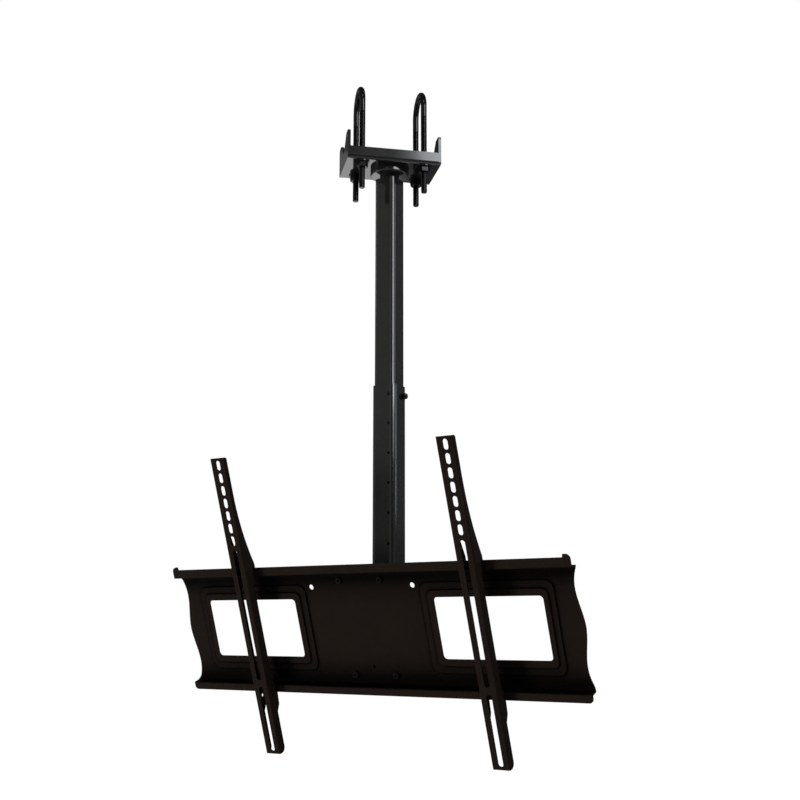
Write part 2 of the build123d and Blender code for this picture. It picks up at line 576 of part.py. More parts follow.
# Plate: panel, webs and lips bent from one sheet, cut to its outline, rims pressed forward
web_mid = (PANEL_HEIGHT + PLATE_SHEET) / 2
lip_mid = LIP_DEPTH - PLATE_SHEET / 2
lip_top = PANEL_HEIGHT / 2 + TOP_LIP
lip_low = PANEL_HEIGHT / 2 + BOTTOM_LIP
ear_top = lip_top + LIP_EAR_H
half_width = PLATE_WIDTH / 2
lip_end = half_width - LIP_INSET
with BuildPart() as tv_plate:
    with BuildSketch(plate_section):
        with BuildLine():
            FilletPolyline(
                (ear_top, lip_mid),
                (web_mid, lip_mid),
                (web_mid, -PLATE_SHEET / 2),
                (-web_mid, -PLATE_SHEET / 2),
                (-web_mid, lip_mid),
                (-lip_low, lip_mid),
                radius=[
                    LIP_BEND_R + PLATE_SHEET / 2,
                    PANEL_BEND_R + PLATE_SHEET / 2,
                    PANEL_BEND_R + PLATE_SHEET / 2,
                    LIP_BEND_R + PLATE_SHEET / 2,
                ],
            )
        trace(line_width=PLATE_SHEET)
    extrude(amount=half_width, both=True)
    with BuildSketch(plate_plane):
        with BuildLine() as half_outline:
            Polyline(
                (0, -lip_low),
                (lip_end - LIP_CORNER_R, -lip_low),
            )
            TangentArc(
                (lip_end - LIP_CORNER_R, -lip_low),
                (lip_end, -lip_low + LIP_CORNER_R),
                tangent=(1, 0),
            )
            Polyline(
                (lip_end, -lip_low + LIP_CORNER_R),
                (lip_end, -web_mid - LIP_INSET),
                (half_width, -web_mid),
            )
            Spline(
                (half_width, -web_mid),
                (half_width - WAIST_INSET, -WAIST_HEIGHT),
                (half_width - BELLY_INSET, 0),
                (half_width - WAIST_INSET, WAIST_HEIGHT),
                (half_width, web_mid),
            )
            Polyline(
                (half_width, web_mid),
                (lip_end, web_mid + LIP_INSET),
                (lip_end, ear_top - LIP_EAR_R),
            )
            TangentArc(
                (lip_end, ear_top - LIP_EAR_R),
                (lip_end - LIP_EAR_R, ear_top),
                tangent=(0, 1),
            )
            Polyline(
                (lip_end - LIP_EAR_R, ear_top),
                (lip_end - LIP_EAR_W, ear_top),
                (lip_end - LIP_EAR_W - LIP_EAR_SLOPE, lip_top),
                (0, lip_top),
            )
            mirror(about=Plane.YZ)
        make_face()
    extrude(amount=LIP_DEPTH + PLATE_SHEET, both=True, mode=Mode.INTERSECT)
    for step, share in ((0, 1.0), (1, 0.5)):
        rim_width = WINDOW_WIDTH + share * (RIM_INNER + RIM_OUTER)
        rim_height = WINDOW_HEIGHT + 2 * share * RIM_UPPER
        rim_centre = WINDOW_CENTRE + share * (RIM_OUTER - RIM_INNER) / 2
        rim_r = WINDOW_R + share * (RIM_R - WINDOW_R)
        with BuildSketch(plate_plane.offset(step * RIM_STEP)):
            with Locations((-rim_centre, 0), (rim_centre, 0)):
                RectangleRounded(rim_width, rim_height, rim_r)
        extrude(amount=RIM_STEP, taper=45)
        with BuildSketch(plate_plane.offset(step * RIM_STEP - PLATE_SHEET)):
            with Locations((-rim_centre, 0), (rim_centre, 0)):
                RectangleRounded(rim_width - PLATE_SHEET, rim_height - PLATE_SHEET, rim_r - PLATE_SHEET / 2)
        extrude(amount=RIM_STEP, taper=45, mode=Mode.SUBTRACT)
    with BuildSketch(plate_plane):
        with Locations((-WINDOW_CENTRE, 0), (WINDOW_CENTRE, 0)):
            RectangleRounded(WINDOW_WIDTH, WINDOW_HEIGHT, WINDOW_R)
        with GridLocations(PLATE_BOLT_WIDTH, PLATE_BOLT_HEIGHT, 2, 2):
            Circle(PLATE_BOLT_D / 2 + HOLE_CLEARANCE)
        with Locations((-PLATE_HOLE_WIDTH / 2, PLATE_HOLE_HEIGHT), (PLATE_HOLE_WIDTH / 2, PLATE_HOLE_HEIGHT)):
            Circle(PLATE_HOLE_D / 2)
        with Locations((0, -LOW_HOLE_DEPTH)):
            Circle(LOW_HOLE_D / 2)
    extrude(amount=PLATE_SHEET + 2 * RIM_STEP, both=True, mode=Mode.SUBTRACT)
hand_in(tv_plate, "tv_plate")

plate_head_h = 0.55 * PLATE_BOLT_D
plate_nut_h = 0.83 * PLATE_BOLT_D
with BuildPart() as plate_bolts:
    with BuildSketch(plate_plane):
        with GridLocations(PLATE_BOLT_WIDTH, PLATE_BOLT_HEIGHT, 2, 2):
            Circle(0.875 * PLATE_BOLT_D)
    extrude(amount=plate_head_h)
    fillet(plate_bolts.edges().group_by(forward)[-1], 0.4 * PLATE_BOLT_D)
    with BuildSketch(plate_plane.offset(plate_head_h)):
        with GridLocations(PLATE_BOLT_WIDTH, PLATE_BOLT_HEIGHT, 2, 2):
            hexagon(PLATE_BOLT_D * 2 / 3)
    extrude(amount=-PLATE_BOLT_D / 3, mode=Mode.SUBTRACT)
    with BuildSketch(plate_plane):
        with GridLocations(PLATE_BOLT_WIDTH, PLATE_BOLT_HEIGHT, 2, 2):
            Circle(PLATE_BOLT_D / 2)
    extrude(amount=-web_back - plate_nut_h - BOLT_END)
hand_in(plate_bolts, "plate_bolts")

with BuildPart() as plate_nuts:
    with BuildSketch(plate_plane.offset(-web_back)):
        with GridLocations(PLATE_BOLT_WIDTH, PLATE_BOLT_HEIGHT, 2, 2):
            hexagon(PLATE_BOLT_D * 5 / 3)
    extrude(amount=-plate_nut_h)
    chamfer(plate_nuts.edges().filter_by(plate_plane), 0.5)
    with BuildSketch(plate_plane.offset(-web_back)):
        with GridLocations(PLATE_BOLT_WIDTH, PLATE_BOLT_HEIGHT, 2, 2):
            Circle(PLATE_BOLT_D / 2 + THREAD_CLEARANCE)
    extrude(amount=-plate_nut_h, mode=Mode.SUBTRACT)
hand_in(plate_nuts, "plate_nuts")

# Rails: channels hooked over the upper lip, their flanges cut to one profile
rail_front = LIP_DEPTH + HOOK_CLEARANCE + RAIL_DEPTH
rail_back = LIP_DEPTH + HOOK_CLEARANCE
hook_inside = LIP_DEPTH - PLATE_SHEET - HOOK_CLEARANCE
hook_top = lip_top + HOOK_CLEARANCE + HOOK_CROWN
mid_end = PANEL_HEIGHT / 2 - SEAT_SLOPE
catch_top = -lip_low - HOOK_CLEARANCE
kink_top = catch_top - CATCH_LENGTH
kink_low = kink_top - KINK_LENGTH
short_first = RAIL_TOP - SHORT_FIRST
long_slot_top = short_first - (SHORT_SLOTS - 1) * SHORT_PITCH - SHORT_SLOT / 2 - SHORT_BRIDGE
low_slot_top = long_slot_top - LONG_SLOT - SLOT_BRIDGE
low_slot = low_slot_top + RAIL_BOTTOM - END_BRIDGE
rails = (
    ("left_rail", RAIL_SHIFT - RAIL_SPACING / 2),
    ("right_rail", RAIL_SHIFT + RAIL_SPACING / 2),
)
for name, place in rails:
    with BuildPart() as rail:
        with BuildSketch(plate_section.offset(place)) as flange:
            with BuildLine():
                Polyline(
                    (hook_top, hook_inside - HOOK_T),
                    (lip_top - HOOK_LENGTH, hook_inside - HOOK_T),
                    (lip_top - HOOK_LENGTH, hook_inside),
                    (lip_top + HOOK_CLEARANCE, hook_inside),
                    (lip_top + HOOK_CLEARANCE, rail_back),
                    (PANEL_HEIGHT / 2, rail_back),
                    (mid_end, rail_front - MID_DEPTH),
                    (-mid_end, rail_front - MID_DEPTH),
                    (-PANEL_HEIGHT / 2, rail_back),
                    (catch_top, rail_back),
                    (catch_top, LIP_DEPTH - CATCH_DEPTH),
                    (kink_top, LIP_DEPTH - CATCH_DEPTH + CATCH_LEAN),
                    (kink_low, rail_front - LOW_DEPTH),
                    (-RAIL_BOTTOM, rail_front - LOW_DEPTH),
                    (-RAIL_BOTTOM, rail_front),
                    (RAIL_TOP, rail_front),
                    (RAIL_TOP, rail_front - TOP_DEPTH),
                    (FLARE_TOP, rail_front - TOP_DEPTH),
                )
                TangentArc(
                    (FLARE_TOP, rail_front - TOP_DEPTH),
                    (hook_top, hook_inside - HOOK_T),
                    tangent=(-1, 0),
                )
            make_face()
            rounded_corners = (
                ((-RAIL_BOTTOM, rail_front - LOW_DEPTH), LOW_R),
                ((RAIL_TOP, rail_front - TOP_DEPTH), 0.7 * TOP_DEPTH),
                ((lip_top - HOOK_LENGTH, hook_inside - HOOK_T), 0.4 * HOOK_T),
            )
            for corner, corner_r in rounded_corners:
                fillet(flange.vertices().sort_by_distance(corner)[0], corner_r)
        extrude(amount=RAIL_WIDTH / 2, both=True)
        fillet(rail.faces().sort_by(forward)[-1].edges().filter_by(Axis((0, 0, 0), plate_up)), RAIL_EDGE_R)
        with BuildSketch(plate_plane.offset(rail_front - RAIL_SHEET)):
            with Locations((place, (RAIL_TOP - RAIL_BOTTOM) / 2)):
                Rectangle(RAIL_WIDTH - 2 * RAIL_SHEET, RAIL_TOP + RAIL_BOTTOM)
        extrude(amount=-rail_front, mode=Mode.SUBTRACT)
        with BuildSketch(plate_plane.offset(rail_front)):
            for k in range(SHORT_SLOTS):
                with Locations((place, short_first - k * SHORT_PITCH)):
                    SlotOverall(SHORT_SLOT, SLOT_W, rotation=90)
            with Locations((place, long_slot_top - LONG_SLOT / 2)):
                SlotOverall(LONG_SLOT, SLOT_W, rotation=90)
            with Locations((place, low_slot_top - low_slot / 2)):
                SlotOverall(low_slot, SLOT_W, rotation=90)
        extrude(amount=-RAIL_SHEET, mode=Mode.SUBTRACT)
        with BuildSketch(plate_section.offset(place)):
            with Locations((catch_top - LOCK_HOLE_DROP, rail_back + LOCK_HOLE_LIFT)):
                Circle(LOCK_HOLE_D / 2)
        extrude(amount=-RAIL_WIDTH, mode=Mode.SUBTRACT)
    hand_in(rail, name)
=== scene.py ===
# %% [markdown]
# # A ceiling mount for a television
# The steel of this mount comes from its CAD model. This lesson loads that model as a fixed frame, gives every
# piece its finish, adds the small forms that a maker sees close up, such as threads, nuts and weld beads, and
# sets up a plain studio round it. All lengths are in metres, in the frame of the CAD model.

# %% Load the CAD model
import json
import math

import bmesh
import bpy
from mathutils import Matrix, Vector


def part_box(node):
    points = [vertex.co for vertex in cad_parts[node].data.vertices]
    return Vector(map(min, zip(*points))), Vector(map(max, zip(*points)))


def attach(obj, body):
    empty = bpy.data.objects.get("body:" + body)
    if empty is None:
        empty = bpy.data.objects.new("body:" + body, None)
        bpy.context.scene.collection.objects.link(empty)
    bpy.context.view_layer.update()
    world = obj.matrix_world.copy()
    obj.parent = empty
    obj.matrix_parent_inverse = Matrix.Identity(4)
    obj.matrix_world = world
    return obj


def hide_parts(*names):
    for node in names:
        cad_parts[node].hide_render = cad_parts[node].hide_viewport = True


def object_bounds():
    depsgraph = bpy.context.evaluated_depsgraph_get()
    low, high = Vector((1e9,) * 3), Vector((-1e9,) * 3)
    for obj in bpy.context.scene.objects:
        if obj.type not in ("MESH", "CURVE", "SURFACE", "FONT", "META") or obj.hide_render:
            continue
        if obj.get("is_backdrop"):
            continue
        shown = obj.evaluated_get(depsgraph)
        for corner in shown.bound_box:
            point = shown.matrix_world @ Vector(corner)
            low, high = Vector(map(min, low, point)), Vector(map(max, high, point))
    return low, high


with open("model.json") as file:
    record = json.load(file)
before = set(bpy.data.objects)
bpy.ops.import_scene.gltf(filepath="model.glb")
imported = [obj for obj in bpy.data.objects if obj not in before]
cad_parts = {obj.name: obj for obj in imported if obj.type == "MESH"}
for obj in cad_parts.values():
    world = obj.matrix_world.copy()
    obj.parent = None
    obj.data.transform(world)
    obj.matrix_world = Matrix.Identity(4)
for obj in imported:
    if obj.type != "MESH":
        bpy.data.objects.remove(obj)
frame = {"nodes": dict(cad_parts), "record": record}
cad_low, cad_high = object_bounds()
nodes = frame["nodes"]
print("CAD nodes:", len(nodes), "box:", [round(v, 3) for v in cad_high - cad_low])

# %% [markdown]
# ## Smooth faces
# The CAD model comes as triangles. A round rod or a rolled corner should shade as one curved face, and a
# folded edge should stay sharp. Marking every face smooth and every edge above an angle sharp does both, and
# leaves the shape alone.

# %% Shade the CAD nodes
SHARP_ABOVE = math.radians(28)


def shade(piece):
    """Smooth faces, sharp folds."""
    piece.data.shade_smooth()
    piece.data.set_sharp_from_angle(angle=SHARP_ABOVE)


for node in nodes.values():
    shade(node)
print("shaded", len(nodes), "nodes")

# %% [markdown]
# ## Rubbed edges
# Paint pulls thin over an edge and is rubbed there, so every coat on the mount is a little paler along its
# edges. The mask for that could be painted by hand. Here a Bevel node rounds the normal near an edge, and
# where it parts from the true normal, there is an edge. Such a mask follows the shape by itself, without new
# faces.

# %% Mask for rubbed edges
MM = 0.001
EDGE_WIDTH = 0.8 * MM
EDGE_SAMPLES = 4
EDGE_BEGINS, EDGE_FULL = 0.99, 0.75  # how far the two normals agree


def rescale(tree, value, begin, end, low=0.0, high=1.0):
    """Turn a value between begin and end into one between low and high."""
    scale = tree.nodes.new("ShaderNodeMapRange")
    limits = {"From Min": begin, "From Max": end, "To Min": low, "To Max": high}
    for socket, limit in limits.items():
        scale.inputs[socket].default_value = limit
    tree.links.new(value, scale.inputs["Value"])
    return scale.outputs["Result"]


def edge_mask(tree):
    """One along edges, zero on flat faces."""
    rounded = tree.nodes.new("ShaderNodeBevel")
    rounded.samples = EDGE_SAMPLES
    rounded.inputs["Radius"].default_value = EDGE_WIDTH
    flat = tree.nodes.new("ShaderNodeNewGeometry")
    agree = tree.nodes.new("ShaderNodeVectorMath")
    agree.operation = "DOT_PRODUCT"
    tree.links.new(rounded.outputs["Normal"], agree.inputs[0])
    tree.links.new(flat.outputs["Normal"], agree.inputs[1])
    return rescale(tree, agree.outputs["Value"], EDGE_BEGINS, EDGE_FULL)


print("rubbed edges:", round(EDGE_WIDTH / MM, 1), "mm wide")

# %% [markdown]
# ## Painted shade in folds
# The folds of the plate lie in shade and look nearly black, and that shade is painted into the colour.
# An Ambient Occlusion node tells how much of the open room a point sees, and where that is less, there is a
# fold, and the colour is darkened there. It looks at the piece alone, so the painted shade stays the same when
# another piece moves past.

# %% Mask for painted shade in folds
FOLD_REACH = 120 * MM
FOLD_SAMPLES = 12
FOLD_BEGINS, FOLD_FULL = 1.0, 0.90  # how much of the room is open


def painted_fold_shade_mask(tree):
    """Painted shade: one deep in a fold, zero on open faces."""
    open_room = tree.nodes.new("ShaderNodeAmbientOcclusion")
    open_room.samples = FOLD_SAMPLES
    open_room.only_local = True
    open_room.inputs["Distance"].default_value = FOLD_REACH
    return rescale(tree, open_room.outputs["AO"], FOLD_BEGINS, FOLD_FULL)


print("folds: seen within", round(FOLD_REACH / MM), "mm")

# %% [markdown]
# ## Flow and grain
# No coat is quite even. Seen as a whole, it has flowed thicker here and thinner there, and seen close up, it
# has a grain. Both could be photographed from a sample, but a Noise node makes them at any size and needs no
# picture. It reads object coordinates, so the grain has a real size on every piece.

# %% Noise for flow and grain
FLOW_SCALE = 22.0
FLOW_DETAIL = 4.0
GRAIN_DETAIL = 2.0


def coat_noise(tree, place, scale, detail):
    """Noise in the piece's own coordinates, with scale swings to the metre."""
    texture = tree.nodes.new("ShaderNodeTexNoise")
    texture.inputs["Scale"].default_value = scale
    texture.inputs["Detail"].default_value = detail
    tree.links.new(place.outputs["Object"], texture.inputs["Vector"])
    return texture.outputs["Fac"]


print("flow: a swing about every", round(1 / FLOW_SCALE / MM), "mm")

# %% [markdown]
# ## Layers of colour
# The colour of a coat is laid on like paint: first the swing of its flow, then the paler edges, then the
# painted shade that darkens the folds. Each layer is a Mix node with a mask as its factor. Whole shaders could
# be mixed in the same way, but only the colour changes from layer to layer, so one shader is enough.

# %% A layer of colour


def toned(colour, factor):
    """A colour made paler or darker."""
    return (*[c * factor for c in colour], 1)


def colour_layer(tree, share, under, over):
    """Lay the colour over on under by the share. Under is a colour or another layer."""
    mix = tree.nodes.new("ShaderNodeMix")
    mix.data_type = "RGBA"
    if isinstance(under, tuple):
        mix.inputs["A"].default_value = under
    else:
        tree.links.new(under, mix.inputs["A"])
    mix.inputs["B"].default_value = over
    tree.links.new(share, mix.inputs["Factor"])
    return mix.outputs["Result"]


print("white toned to a half:", toned((1, 1, 1), 0.5))

# %% [markdown]
# ## A coat
# Every finish on the mount is a coat over steel or the skin of a moulding. One function makes them all from a
# Principled shader: its colour comes from the layers, its roughness from the flow, and its bump from the
# grain. A bump is enough here, because the grain is too fine to show on an outline.

# %% A coated surface
FLOW_THIN, FLOW_THICK = 0.3, 0.7


def coat(name, colour, shift, rough, rough_swing, grain_mm, grain_depth_mm, specular, edge_lift, painted_fold_shade):
    """Coat over a fine grain. Its colour swings by shift, is edge_lift on edges, and is darkened by painted
    shade in folds.
    """
    finish = bpy.data.materials.new(name)
    finish.use_nodes = True
    tree = finish.node_tree
    shader = tree.nodes["Principled BSDF"]
    shader.inputs["Specular IOR Level"].default_value = specular
    place = tree.nodes.new("ShaderNodeTexCoord")
    flow = coat_noise(tree, place, FLOW_SCALE, FLOW_DETAIL)
    grain = coat_noise(tree, place, 1.0 / (grain_mm * MM), GRAIN_DETAIL)

    tint = colour_layer(tree, flow, toned(colour, 1 - shift), toned(colour, 1 + shift))
    worn = colour_layer(tree, edge_mask(tree), tint, toned(colour, edge_lift))
    # Painted shade: the colour is darkened in the folds.
    deep = colour_layer(tree, painted_fold_shade_mask(tree), worn, toned(colour, painted_fold_shade))
    tree.links.new(deep, shader.inputs["Base Color"])

    gloss = rescale(tree, flow, FLOW_THIN, FLOW_THICK, rough - rough_swing, rough + rough_swing)
    tree.links.new(gloss, shader.inputs["Roughness"])

    bump = tree.nodes.new("ShaderNodeBump")
    bump.inputs["Strength"].default_value = 1.0
    bump.inputs["Distance"].default_value = grain_depth_mm * MM
    tree.links.new(grain, bump.inputs["Height"])
    tree.links.new(bump.outputs["Normal"], shader.inputs["Normal"])
    print(name, "has", len(tree.nodes), "shader nodes")
    return finish


print("a coat is thin at", FLOW_THIN, "and thick at", FLOW_THICK, "of its flow")

# %% [markdown]
# ## Powder coat
# Plate, tilt bracket and rails are powder coated: matte, a warm and brownish black, with painted shade that
# makes the folds nearly black. Powder melts to a fine orange peel, so this grain is the deepest of all. A
# specular close to zero keeps the wide faces from mirroring the lights, which more roughness alone would only
# blur.

# %% Coat for plate and rails
powder_coat = coat(
    "powder_coat", (0.0158, 0.0106, 0.0083), shift=0.2, rough=0.5, rough_swing=0.06,
    grain_mm=1.1, grain_depth_mm=0.02, specular=0.03, edge_lift=1.4, painted_fold_shade=0.1,
)

# %% [markdown]
# ## Satin paint
# Pole and clamp have a smooth satin paint that mirrors the room softly, so their flat faces look grey and
# their rounded corners carry bright lines. That needs a low roughness and a high specular on a colour that is
# as dark as the rest. The grain is kept hardly there, or it would break up the lines.

# %% Paint for pole and clamp
satin_black = coat(
    "satin_black", (0.0120, 0.0118, 0.0112), shift=0.15, rough=0.11, rough_swing=0.02,
    grain_mm=3.0, grain_depth_mm=0.002, specular=1.0, edge_lift=1.6, painted_fold_shade=0.6,
)

# %% [markdown]
# ## Black hardware
# U-bolts, nuts and screws come blackened, deeper than any paint and with some gloss left. The darkest colour
# of all and a roughness near that of the paint give small, sharp lights on threads and corners. A metallic
# shader would be right for bare steel, but the black layer hides the metal.

# %% Gloss for the hardware
glossy_black = coat(
    "glossy_black", (0.0050, 0.0050, 0.0048), shift=0.2, rough=0.16, rough_swing=0.04,
    grain_mm=1.6, grain_depth_mm=0.004, specular=0.4, edge_lift=2.0, painted_fold_shade=0.5,
)

# %% [markdown]
# ## Nylon
# The tube's foot, its end cap and the tilt washers are moulded from black nylon, which slides well on steel.
# It has a neutral colour and takes the dull, fine grain of its mould. Light that soaks into nylon could be
# added, but black nylon lets none through.

# %% Nylon for foot, cap and washers
black_nylon = coat(
    "black_nylon", (0.0120, 0.0120, 0.0120), shift=0.15, rough=0.55, rough_swing=0.05,
    grain_mm=0.8, grain_depth_mm=0.015, specular=0.4, edge_lift=1.3, painted_fold_shade=0.6,
)

# %% [markdown]
# ## Bolts in the plate
# The four bolts in the middle of the plate are a dull black, close to the powder coat round them. With the
# gloss of the other hardware they would stand out as bright dots, so they get a finish of their own, between
# the two.

# %% Dull black for the plate bolts
blackened = coat(
    "blackened_bolts", (0.0085, 0.0072, 0.0064), shift=0.15, rough=0.5, rough_swing=0.05,
    grain_mm=0.9, grain_depth_mm=0.008, specular=0.06, edge_lift=1.5, painted_fold_shade=0.3,
)

# %% [markdown]
# ## Which piece wears what
# The record of the CAD model gives each node a slot, a plain word for its finish. A table from slot to finish
# dresses all of them in one loop, and a piece that is added later finds its finish in the same table. Only
# the plate bolts are dressed by name.

# %% Dress the CAD nodes
finishes = {
    "powder_coat": powder_coat,
    "gloss_black": satin_black,
    "black_hardware": glossy_black,
    "black_nylon": black_nylon,
}

for part in frame["record"]["subparts"]:
    skin = nodes[part["node"]].data.materials
    skin.clear()
    skin.append(finishes[part["material_slot"]])
nodes["plate_bolts"].data.materials[0] = blackened

# %% [markdown]
# ## Where the clamp stands
# The clamp is turned about the vertical, so its U-bolts and nuts are placed in a frame of their own: along
# the tube that it holds, across it, and up. The origin of the CAD model is on the axis of that tube. The new
# pieces could be made square and turned afterwards, but points that are right from the start need no later
# step.

# %% The clamp's own frame
CLAMP_YAW = math.radians(43)
along = Vector((math.cos(CLAMP_YAW), math.sin(CLAMP_YAW), 0))
across = Vector((-math.sin(CLAMP_YAW), math.cos(CLAMP_YAW), 0))
up = Vector((0, 0, 1))
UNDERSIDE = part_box("clamp_channel")[0].z


def clamp_point(x, y, z):
    """A point along and across the clamp, and above its underside."""
    return along * x + across * y + up * (UNDERSIDE + z)


print("underside of the clamp at", round(UNDERSIDE, 4))

# %% [markdown]
# ## A new piece
# Each detail is a mesh of its own. It rides on the CAD body that carries it, takes its finish from that
# piece's slot, and hides the CAD solid it stands for, if any. The meshes are built point by point in bmesh,
# which gives control of every face and leaves no modifier behind.

# %% Hand in a mesh


def hand_in(mesh, name, body, slot, stands_for=None):
    """Turn a bmesh into a piece of the mount."""
    bmesh.ops.recalc_face_normals(mesh, faces=mesh.faces)
    data = bpy.data.meshes.new(name)
    mesh.to_mesh(data)
    mesh.free()
    piece = bpy.data.objects.new(name, data)
    bpy.context.scene.collection.objects.link(piece)
    shade(piece)
    data.materials.append(finishes[slot])
    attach(piece, body)
    if stands_for:
        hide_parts(stands_for)
    print(name, "has", len(data.polygons), "faces")


print("slots for new pieces:", ", ".join(finishes))

# %% [markdown]
# ## U-bolts
# A U-bolt is a smooth rod bent over a former, and both legs carry a rolled thread. The CAD model keeps a
# plain rod, because a thread adds nothing to its size. Here the thread is real geometry, not a bump, since it
# shows on the outline of the rod. Its profile has four points to a pitch, two on the crest and two in the
# root. The groove runs out at both ends, and the foot is turned to a blunt point.

# %% Profile of the thread
ROD_R = 5.0 * MM
PITCH = 1.5 * MM
GROOVE = 0.9 * MM
LEG_FOOT = -46.0 * MM
THREAD_TOP = 89.0 * MM
TOP_RUNOUT = 2 * PITCH
POINT = 1.0 * MM


def thread_radius(level, depth):
    """Radius at a level of the leg, on the crest (depth 0) or in the root (depth 1)."""
    runout = min(1.0, (level - LEG_FOOT) / PITCH, (THREAD_TOP - level) / TOP_RUNOUT)
    taper = max(0.0, POINT - (level - LEG_FOOT))
    return ROD_R - taper - depth * runout * (GROOVE - taper / 2)


print("thread:", round((THREAD_TOP - LEG_FOOT) / PITCH), "turns on each leg")

# %% [markdown]
# ## Ends of a leg
# The thread has to close at the foot and to join the bend at its top, so the points of its end rings are
# needed in order. They are found by where they lie, because points that merge leave no list that can be
# trusted. The angle of the first point may come out a hair below a full turn, so the angles wrap a hair
# early.

# %% Ring at an end
FULL_TURN = 2 * math.pi
WRAP = FULL_TURN - 1e-4
LEG_REACH = 1.2 * ROD_R
SAME_LEVEL = 1e-6


def end_ring(mesh, centre):
    """Points of a leg at the level of its centre, in order round it."""

    def turned(point):
        away = point.co - centre
        return math.atan2(away.dot(across), away.dot(along)) % WRAP

    leg = [v for v in mesh.verts if (v.co - centre).length < LEG_REACH]
    return sorted((v for v in leg if abs(v.co.z - centre.z) < SAME_LEVEL), key=turned)


print("end rings: points within", round(LEG_REACH / MM, 1), "mm of the leg's axis")

# %% [markdown]
# ## Threaded leg
# A thread is a ring of points that climbs by one pitch in each turn. The grid of points climbs with it, and
# its seam joins a point to the one a pitch higher. A Screw modifier could turn the profile too, but not let
# the groove run out. At both ends the grid is held at the end's level, where doubled points merge.

# %% Threaded leg
ROUND = 20
THREAD_STEPS = ((0.0, 0), (0.10, 0), (0.42, 1), (0.68, 1))  # share of a pitch, crest 0 or root 1
SAME_POINT = 1e-7


def threaded_leg(mesh, x, y):
    """Thread on one leg. Returns its lowest and highest ring."""
    turns = int((THREAD_TOP - LEG_FOOT) / PITCH) + 2
    start = LEG_FOOT - PITCH
    grid = []
    for turn in range(turns + 1):
        for step, depth in THREAD_STEPS:
            row = []
            for k in range(ROUND):
                climb = start + (turn + step + k / ROUND) * PITCH
                level = min(max(climb, LEG_FOOT), THREAD_TOP)
                radius = thread_radius(level, depth)
                turned = FULL_TURN * k / ROUND
                spot = clamp_point(x + radius * math.cos(turned), y + radius * math.sin(turned), level)
                row.append(mesh.verts.new(spot))
            grid.append(row)
    steps = len(THREAD_STEPS)
    last = ROUND - 1
    for r in range(len(grid) - 1):
        low, high = grid[r], grid[r + 1]
        for k in range(last):
            mesh.faces.new((low[k], low[k + 1], high[k + 1], high[k]))
        if r >= steps:
            mesh.faces.new((grid[r - steps][last], low[0], high[0], grid[r + 1 - steps][last]))
    bmesh.ops.remove_doubles(mesh, verts=[point for row in grid for point in row], dist=SAME_POINT)
    return [end_ring(mesh, clamp_point(x, y, level)) for level in (LEG_FOOT, THREAD_TOP)]


print("threaded leg:", ROUND, "points round and", len(THREAD_STEPS), "to a pitch")

# %% [markdown]
# ## Bend
# Over the tube, the rod runs on from one leg to the other in half a circle. A curve with a round bevel would
# give that bend, but could not be joined to the thread. So rings with as many points as the legs are set
# round the half circle. Its level is measured from the top of the CAD rod.

# %% Rings round the bend
LEG_PLACE = 31.0 * MM
BEND_STEPS = 30
bend_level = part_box("u_bolt_left")[1].z - UNDERSIDE - LEG_PLACE - ROD_R


def bend_rings(mesh, x):
    """Rings of points round the half circle, from the near leg to the far one."""
    rings = []
    for step in range(BEND_STEPS + 1):
        bend = math.pi * step / BEND_STEPS
        ring = []
        for k in range(ROUND):
            turned = FULL_TURN * k / ROUND
            reach = LEG_PLACE - ROD_R * math.sin(turned)
            spot = clamp_point(
                x + ROD_R * math.cos(turned),
                -reach * math.cos(bend),
                bend_level + reach * math.sin(bend),
            )
            ring.append(mesh.verts.new(spot))
        rings.append(ring)
    return rings


print("the bend starts", round(bend_level / MM, 1), "mm above the clamp's underside")

# %% [markdown]
# ## Skin of the rods
# A row of rings becomes a rod when neighbouring rings are joined by four-sided faces. Blender has an operator
# that bridges loops, but it needs edit mode and a selection, and plain loops over the points need neither. The
# far leg comes down where the near one goes up, so its top ring is counted the other way round.

# %% Bend the rods
U_BOLT_PLACES = {"left": -52.0 * MM, "right": 52.0 * MM}


def skin_rings(mesh, rings, closed=False):
    """Join neighbouring rings of vertices with four-sided faces."""
    pairs = list(zip(rings, rings[1:]))
    if closed:
        pairs.append((rings[-1], rings[0]))
    for low, high in pairs:
        for k in range(len(low)):
            m = (k + 1) % len(low)
            mesh.faces.new((low[k], low[m], high[m], high[k]))


for side, x in U_BOLT_PLACES.items():
    rod = bmesh.new()
    near_foot, near_top = threaded_leg(rod, x, -LEG_PLACE)
    far_foot, far_top = threaded_leg(rod, x, LEG_PLACE)
    far_ring = [far_top[-k] for k in range(ROUND)]
    skin_rings(rod, [near_top, *bend_rings(rod, x), far_ring])
    rod.faces.new(near_foot)
    rod.faces.new(far_foot)
    hand_in(rod, f"u_bolt_rod_{side}", "clamp", "black_hardware", f"u_bolt_{side}")

# %% [markdown]
# ## Nuts
# A nut is a length of hexagon bar. Both ends are turned on a lathe to a cone, and where the cone meets the
# flats it leaves the arcs by which anyone knows a nut. A bevel on the edges would not give those arcs. So the
# nut is built as rings of points round its axis: the outer ones follow the hexagon, and drop by the slope of
# the cone.

# %% One hexagon nut
NUT_ROUND = 48
SIXTH = math.pi / 3
CONE = math.tan(math.radians(30))
LAND = 0.96  # flat ring on the end, as a share of the width across the flats
BORE_BEVEL = 0.5 * MM


